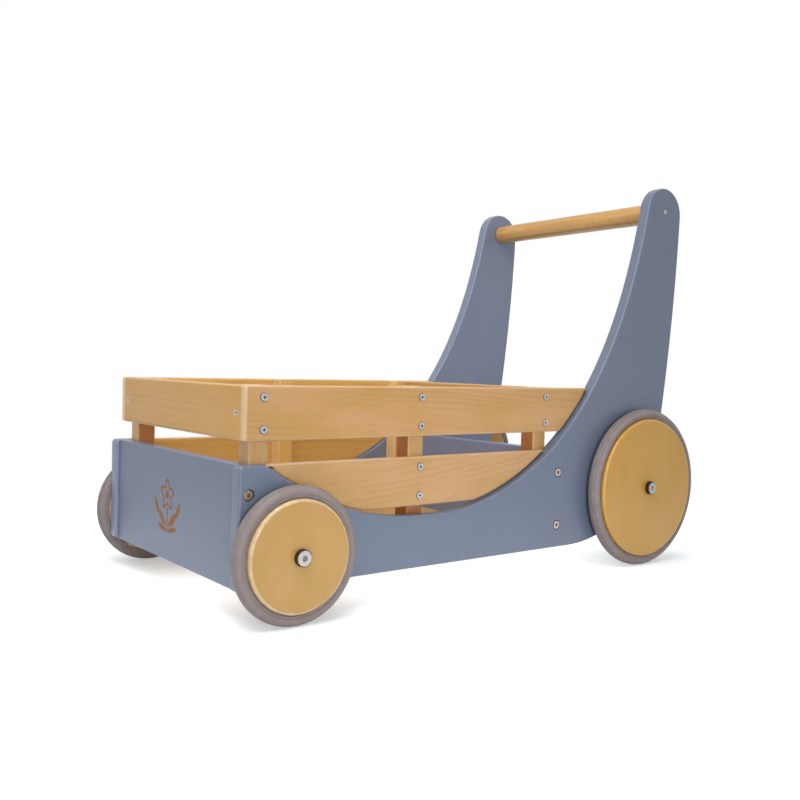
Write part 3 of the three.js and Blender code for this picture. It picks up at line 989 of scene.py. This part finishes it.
def between(curve, low, high):
    """The stretch of a curve between two heights, cut exactly at both."""
    kept = []
    for a, b in zip(curve, curve[1:]):
        for height in (low, high):
            if (a.y - height) * (b.y - height) < 0:
                kept.append(a.lerp(b, (height - a.y) / (b.y - a.y)))
        if low <= b.y <= high:
            kept.append(b)
    ends = (kept[0], kept[-1])
    inner = [point for point in kept if all((point - end).length > SLAT_CLEAR for end in ends)]
    return [ends[0], *inner, ends[1]]


# %% Cut and hang the side slats
SLAT_ROUNDING = 2.2 * MM
SLAT_CORNER = 2.8 * MM
RECESS_DEPTH = 1.2 * MM
RECESS_FIT = 0.3 * MM


def recesses(level_name, side):
    """A shallow hole round each screw of a side slat."""
    screws = [node for node in frame["nodes"]
              if node.startswith(f"screw_{level_name}_slat_") and node.endswith(side)]
    seats = [sunk(screw) for screw in screws]
    return [(seat, radius - RECESS_FIT, RECESS_DEPTH) for seat, radius, _ in seats]


for level_name in ("upper", "lower"):
    for side in ("left", "right"):
        node = f"{level_name}_slat_{side}"
        low, high = corners_mm(node)
        rear_end = between(beside(sweep, SLAT_GAP), low.z, high.z)
        front_x = low.y - crate_middle
        front_end = [Vector((front_x, high.z)), Vector((front_x, low.z))]
        if level_name == "lower":
            front_end = between(beside(dip, SLAT_FRONT_GAP), low.z, high.z)
        outline = softened([point * MM for point in front_end + rear_end], SLAT_CORNER)
        holes = recesses(level_name, side)
        shape = upright(node, side, outline, SLAT_ROUNDING, holes)
        dress(node, shape, pine_slats[f"{level_name}_{side}"])
        print(node, "has", len(holes), "screws")

# %% [markdown]
# ## Turned pieces
# Wheels, tyres, washers, bolts and the bar all come off a lathe. A lathe needs half a profile: how
# far the tool stands from the axis at each place along it. Spinning the profile's points gives
# rings again, and the same stitching joins them.

# %% Turn a profile
def spin(profile, sides):
    """Spins [radius, along] pairs, in millimetres, round the x axis. Returns shape and rings."""
    shape = bmesh.new()
    rings = []
    for radius, along in profile:
        turns = [2 * pi * step / sides for step in range(sides if radius else 1)]
        spots = [(along, radius * cos(turn), radius * sin(turn)) for turn in turns]
        rings.append([shape.verts.new(Vector(spot) * MM) for spot in spots])
    for first, second in zip(rings, rings[1:]):
        stitch(shape, first, second)
    return shape, rings


def outward(node):
    """Sets a turned piece on its node's axis, starting from the inner face and looking outward."""
    low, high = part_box(node)
    axis = (low + high) / 2
    if node.endswith("_right"):
        return Matrix.Translation((high.x, axis.y, axis.z)) @ Matrix.Rotation(pi, 4, "Z")
    return Matrix.Translation((low.x, axis.y, axis.z))


def turned(node, profile, sides, finish):
    """Spins a profile and hangs it on its node's axis."""
    shape, _ = spin(profile, sides)
    shape.transform(outward(node))
    dress(node, shape, finish)


def quarter(radius, along, size, steps=5):
    """Profile points on a quarter circle round a middle, from the rim to the outer face."""
    turns = [radians(90 - 90 * step / steps) for step in range(steps + 1)]
    return [(radius + size * sin(turn), along + size * cos(turn)) for turn in turns]


# %% The handle bar
BAR_CHAMFER = 0.6
BAR_STATIONS, BAR_SIDES = 12, 96
bar_radius, bar_length = round_size("handle_bar")
bar_face = bar_radius - BAR_CHAMFER
bar_profile = [(0, 0), (bar_face, 0), (bar_radius, BAR_CHAMFER)]
bar_profile += [(bar_radius, bar_length * step / BAR_STATIONS) for step in range(1, BAR_STATIONS)]
bar_profile += [(bar_radius, bar_length - BAR_CHAMFER), (bar_face, bar_length), (0, bar_length)]
turned("handle_bar", bar_profile, BAR_SIDES, dowel)
print("bar:", round(bar_length, 1), "mm long,", round(2 * bar_radius, 1), "mm thick")

# %% [markdown]
# A disc is 18 mm thick with its outer edge rounded over. The tyre round it is 15 mm wide, so the
# disc stands a little proud. The tyre's flank falls in towards the disc, with a fine groove before
# its lip, and four fine lines run round its crown. A washer, a short turned ring with broken
# edges, lies between each disc and its panel.

# %% The profile of a disc
DISC_ROUNDING, DISC_ROUNDING_STEPS = 3.6, 8
DISC_STEP = 0.2
DISC_CHAMFER = 1
HUB_BORE = 5


def disc_profile(radius, thickness):
    """The router that rounds the rim leaves a hair-thin step round the face."""
    flat = radius - DISC_ROUNDING
    shoulder_at = thickness - DISC_STEP - DISC_ROUNDING
    back = [(HUB_BORE, 0), (radius - DISC_CHAMFER, 0), (radius, DISC_CHAMFER)]
    rim = quarter(flat, shoulder_at, DISC_ROUNDING, DISC_ROUNDING_STEPS)
    face = [(flat, thickness - DISC_STEP / 2), (flat - DISC_STEP, thickness)]
    return [*back, *rim, *face, (HUB_BORE, thickness), (HUB_BORE, 0)]


# %% The profile of a tyre
TYRE_HEIGHT, TYRE_OVERLAP = 11.5, 0.3
TYRE_CROWN, CROWN_STEPS = 6.5, 28
LINE_DEPTH, LINE_HALF, LINE_CLEAR = 0.5, 0.5, 0.75
# How far each point lies above the tyre's seat, and how far inside its outer face
TYRE_FLANK = ((3.6, 0.3), (2.9, 1.1))
TYRE_LIP = ((2.3, 0.9), (0.8, 1.4), (0.5, 2.4), (0, 2.4))


def tyre_stations(width):
    """Places across the tread, and how deep a line is cut there."""
    steps = range(1, CROWN_STEPS)
    cuts = {width / 2 * (1 - cos(pi * step / CROWN_STEPS)): 0 for step in steps}
    for line in TYRE_LINES:
        cuts = {along: cut for along, cut in cuts.items() if abs(along - line) >= LINE_CLEAR}
        cuts.update({line - LINE_HALF: 0, line: LINE_DEPTH, line + LINE_HALF: 0})
    return sorted(cuts.items())


def tyre_profile(radius, width):
    seat = radius - TYRE_HEIGHT + TYRE_OVERLAP
    spring = radius - TYRE_CROWN
    crown = []
    for along, cut in tyre_stations(width):
        swell = (1 - (1 - 2 * along / width) ** 2) ** 0.5
        crown.append((spring + TYRE_CROWN * swell - cut, along))
    outer_side = [(seat + above, width - inside) for above, inside in (*TYRE_FLANK, *TYRE_LIP)]
    return [(seat, 0), (spring, 0), *crown, (spring, width), *outer_side, (seat, 0)]


print("points in a tyre's profile:", len(tyre_profile(*round_size("tyre_front_left"))))

# %% Turn and hang the wheels
WHEEL_SIDES = 128
wheel_looks = {"front": (front_disc_wood, front_rubber), "rear": (rear_disc_wood, rear_rubber)}
for end, (wood, tyre_rubber) in wheel_looks.items():
    for side in ("left", "right"):
        disc, tyre = f"wheel_disc_{end}_{side}", f"tyre_{end}_{side}"
        turned(disc, disc_profile(*round_size(disc)), WHEEL_SIDES, wood)
        turned(tyre, tyre_profile(*round_size(tyre)), WHEEL_SIDES, tyre_rubber)
    print(end, "tyre, radius and width:", [round(size, 1) for size in round_size(tyre)])

# %% Washers
WASHER_BORE, WASHER_CHAMFER = 4.8, 0.5
WASHER_SIDES = 64
for end in ("front", "rear"):
    for side in ("left", "right"):
        node = f"wheel_washer_{end}_{side}"
        radius, thickness = round_size(node)
        inner = radius - WASHER_CHAMFER
        profile = [(WASHER_BORE, 0), (inner, 0), (radius, WASHER_CHAMFER)]
        profile += [(radius, thickness - WASHER_CHAMFER), (inner, thickness)]
        profile += [(WASHER_BORE, thickness), (WASHER_BORE, 0)]
        turned(node, profile, WASHER_SIDES, spacer_steel)
print("washers:", round(2 * radius, 1), "mm wide,", round(thickness, 1), "mm thick")

# %% [markdown]
# ## Bolts and screws
# A bolt is a turned shank and head. Its drive, a hexagon for a key or a cross for a screwdriver, is
# pressed into the face: an outline in the face, walls that lean in, and a floor. The cap round it
# is the same cover that the plates use. One mesh can wear several finishes: each face of it holds
# the number of its own, and here the face, the side and the drive of a head get one each.

# %% Drives
def hexagon(radius):
    return arc(Vector((0, 0)), radius, 0, 2 * pi, 6)[:-1]


def cross(reach, width):
    """A plus sign with twelve corners."""
    half = width / 2
    arm = [Vector((half, half)), Vector((half, reach)), Vector((-half, reach))]
    quarters = [Matrix.Rotation(radians(90 * i), 2) for i in range(4)]
    return [turn @ corner_place for turn in quarters for corner_place in arm]


# %% A fastener with its drive
FACE, SIDE, DRIVE = range(3)
FASTENER_SIDES = 48
TIP_CHAMFER, TIP_LENGTH = 0.6, 0.8
HEAD_CHAMFER = 0.3


def fastener(length, radius, drive, head, shank, rounding, depth, lean):
    """A bolt or screw along x, with its drive sunk into the outer face of its head."""
    under = length - head
    profile = [(0, 0), (shank - TIP_CHAMFER, 0), (shank, TIP_LENGTH), (shank, under)]
    profile += [(radius - HEAD_CHAMFER, under), (radius, under + HEAD_CHAMFER)]
    profile += quarter(radius - rounding, length - rounding, rounding)
    shape, rings = spin(profile, FASTENER_SIDES)
    loops = []
    for scale, along in ((1, length), (lean, length - depth)):
        spots = [Vector((along, scale * point.x, scale * point.y)) * MM for point in drive]
        loops.append([shape.verts.new(spot) for spot in spots])
    for face in shape.faces:
        face.material_index = SIDE
    for face in cover(shape, [rings[-1], loops[0]]):
        face.material_index = FACE
    for face in stitch(shape, loops[0], loops[1]) + cover(shape, [loops[1]]):
        face.material_index = DRIVE
    return shape


# %% The kinds of bolts and screws
screw_cut = dict(head=3.4, shank=1.9, rounding=0.5, depth=1.3, lean=0.6)
board_bolt_cut = dict(head=3, shank=3, rounding=0.5, depth=1.8, lean=0.95)
wheel_bolt_cut = dict(head=5, shank=4.5, rounding=0.9, depth=1.2, lean=0.7)
handle_screw_cut = dict(head=2.4, shank=2.2, rounding=0.5, depth=1.3, lean=0.5)
SCREW_SINK = 1.6
painted_dark_side_and_drive = (steel_side, steel_drive)
screw_metals = (screw_face, screw_side, screw_drive)
# For each kind: its cut, its drive, the finishes of its face, side and drive, and how far it sits
# inside its solid's box
fastener_kinds = {
    "wheel_bolt": (wheel_bolt_cut, hexagon(radius=3.0), (hub_face, *painted_dark_side_and_drive), 0),
    "board_bolt_front": (board_bolt_cut, hexagon(radius=2.0), (front_bolt_face, *painted_dark_side_and_drive), 0),
    "board_bolt_rear": (board_bolt_cut, hexagon(radius=2.0), (rear_bolt_face, *painted_dark_side_and_drive), 0),
    "handle_screw": (handle_screw_cut, cross(reach=1.7, width=0.8), screw_metals, 0),
    "screw": (screw_cut, cross(reach=2.0, width=1.0), screw_metals, SCREW_SINK),
}

# %% Hang the bolts and screws
before = len(hung)
for node in sorted(frame["nodes"]):
    for kind, (cut, drive, metals, sink) in fastener_kinds.items():
        if node.startswith(f"{kind}_"):
            radius, length = round_size(node)
            shape = fastener(length - sink, radius, drive, **cut)
            shape.transform(outward(node))
            dress(node, shape, *metals)
print("bolts and screws:", len(hung) - before)

# %% Screws of the end slats
END_SCREW_LENGTH = 24
END_SCREW_DEPTH = 0.25 * MM
end_screw_cut = dict(head=2.3, shank=1.7, rounding=0.3, depth=1.5, lean=0.45)
end_drive = cross(reach=1.9, width=0.95)
for end, out in ENDS:
    low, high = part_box(f"upper_slat_{end}")
    for side, x in (("left", high.x - END_SCREW_INSET), ("right", low.x + END_SCREW_INSET)):
        shape = fastener(END_SCREW_LENGTH, END_SCREW_RADIUS / MM, end_drive, **end_screw_cut)
        face = (high.y if out > 0 else low.y) - END_SCREW_DEPTH * out
        origin = Vector((x, face - out * END_SCREW_LENGTH * MM, (low.z + high.z) / 2))
        shape.transform(lie(Vector((0, out, 0)), Vector((1, 0, 0)), UP, origin))
        hang(f"end_slat_screw_{end}_{side}", shape, screw_metals, "frame")
print("pieces hung:", len(hung))

# %% [markdown]
# ## The studio
# The walker stands on a wide white table in a white room. A large soft lamp hangs over its front
# left, and a weaker one stands low on its left with a grid that keeps its beam on the panel and the
# wheels. The table keeps the shadows near the wheels and fades to pure white away from them. It
# does so only for rays that an eye or a mirror sends out: light that bounces off it meets plain
# matt white.

# %% The table
TABLE_HALF = 6.0
TABLE_SQUARES = 8
shape = bmesh.new()
bmesh.ops.create_grid(shape, x_segments=TABLE_SQUARES, y_segments=TABLE_SQUARES, size=TABLE_HALF)
table_mesh = bpy.data.meshes.new("table")
shape.to_mesh(table_mesh)
shape.free()
table = bpy.data.objects.new("table", table_mesh)
bpy.context.scene.collection.objects.link(table)
print("table:", 2 * TABLE_HALF, "m wide")

# %% Tell the eye's rays from the light's
def seen_directly(finish):
    """1 for a ray from the camera, a mirror or a glass, 0 for the rays that carry light."""
    names = ("Is Camera Ray", "Is Glossy Ray", "Is Transmission Ray")
    first, *others = [finish.node("ShaderNodeLightPath", output=name) for name in names]
    return sum(others, first).clamp()


def blended(amount, first, second):
    """The first shader where the amount is 0, the second where it is 1."""
    return amount.finish.node("ShaderNodeMixShader", {}, {0: amount, 1: first, 2: second})


# %% The white of the table
WHITE = (1, 1, 1, 1)
COOL_WHITE = (0.955, 0.98, 1, 1)
MATT_WHITE = (0.82, 0.85, 0.88, 1)
LIFT_NEAR, LIFT_AWAY = 0.4, 0.95
FADE_START, FADE_END = 420, 900
# The shadows lie this far to each side, and a little behind the feet of the wheels, because the
# large lamp hangs in front.
SHADOW_TRACK, FRONT_SHADOW, REAR_SHADOW = 165, -253, 268
SHADOW_CORE, SHADOW_REACH = 0.15, 155

white, spot = started("white_table")
fade = ((slant(spot[X], spot[Y]) - FADE_START) / (FADE_END - FADE_START)).clamp()
to_side = abs(abs(spot[X]) - SHADOW_TRACK)
to_end = abs(spot[Y] - FRONT_SHADOW).math("MINIMUM", abs(spot[Y] - REAR_SHADOW))
clearing = ramp(slant(to_side, to_end) / SHADOW_REACH, [(SHADOW_CORE, 0), (1, 1)], smooth=True)
matt = white.node("ShaderNodeBsdfDiffuse", {}, {"Color": MATT_WHITE})
near, away, glow = [
    white.node("ShaderNodeEmission", {}, {"Color": colour, "Strength": strength})
    for colour, strength in ((COOL_WHITE, LIFT_NEAR), (COOL_WHITE, LIFT_AWAY), (WHITE, 1.0))
]
lifted = white.node("ShaderNodeAddShader", {}, {0: matt, 1: blended(clearing, near, away)})
table_look = blended(seen_directly(white), matt, blended(fade, lifted, glow))
white.node("ShaderNodeOutputMaterial", {}, {"Surface": table_look})
table_mesh.materials.append(white.owner)
print("nodes in the table's white:", len(white.tree.nodes))

# %% The world
WORLD_LEVEL = 0.42
scene = bpy.context.scene
scene.view_settings.view_transform = "Standard"
scene.world = bpy.data.worlds.new("studio")
air = Finish(scene.world)
dim, bright = [
    air.node("ShaderNodeBackground", {}, {"Color": WHITE, "Strength": strength})
    for strength in (WORLD_LEVEL, 1.0)
]
air.node("ShaderNodeOutputWorld", {}, {"Surface": blended(seen_directly(air), dim, bright)})
print("the room lights the walker with", WORLD_LEVEL, "of the white behind it")

# %% The lamps
def softbox(name, place, target, size, power, beam=180):
    """A square lamp of a size in metres, turned to its target. A grid can narrow its beam."""
    data = bpy.data.lights.new(name, "AREA")
    data.shape = "SQUARE"
    data.size = size
    data.energy = power
    data.spread = radians(beam)
    lamp = bpy.data.objects.new(name, data)
    lamp.location = place
    lamp.rotation_euler = (Vector(target) - Vector(place)).to_track_quat("-Z", "Y").to_euler()
    bpy.context.scene.collection.objects.link(lamp)
    print(name, power, "W")


softbox("overhead_softbox", place=(0.27, -0.5, 1.0), target=(0, 0, 0), size=0.8, power=8)
softbox("low_softbox", place=(1.5, -0.6, 0.2), target=(0.14, -0.05, 0), size=0.6, power=0.78,
        beam=40)
